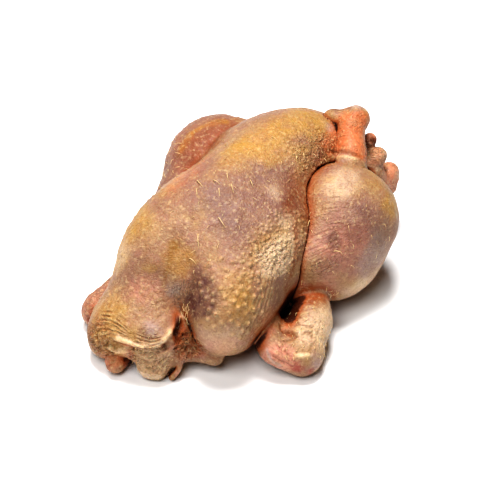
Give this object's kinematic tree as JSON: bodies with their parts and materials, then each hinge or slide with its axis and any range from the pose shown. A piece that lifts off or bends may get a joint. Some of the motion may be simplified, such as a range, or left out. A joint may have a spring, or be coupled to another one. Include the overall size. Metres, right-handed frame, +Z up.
{
  "type": "whole raw chicken",
  "caption": "Whole raw chicken, plucked and drawn, head and feet off, lying breast up on its back with folded legs and cut wings.",
  "frame": {"origin": "centre of the bounding box's bottom, on the surface that the bird lies on", "axes": "+Z up through the breastbone, +Y from the neck end to the tail end, +X towards the side whose wing stands away"},
  "size_m": [0.182, 0.2546, 0.105],
  "materials": {
    "skin": "satin"
  },
  "bodies": {
    "root": {"chicken": "skin"}
  },
  "joints": []
}
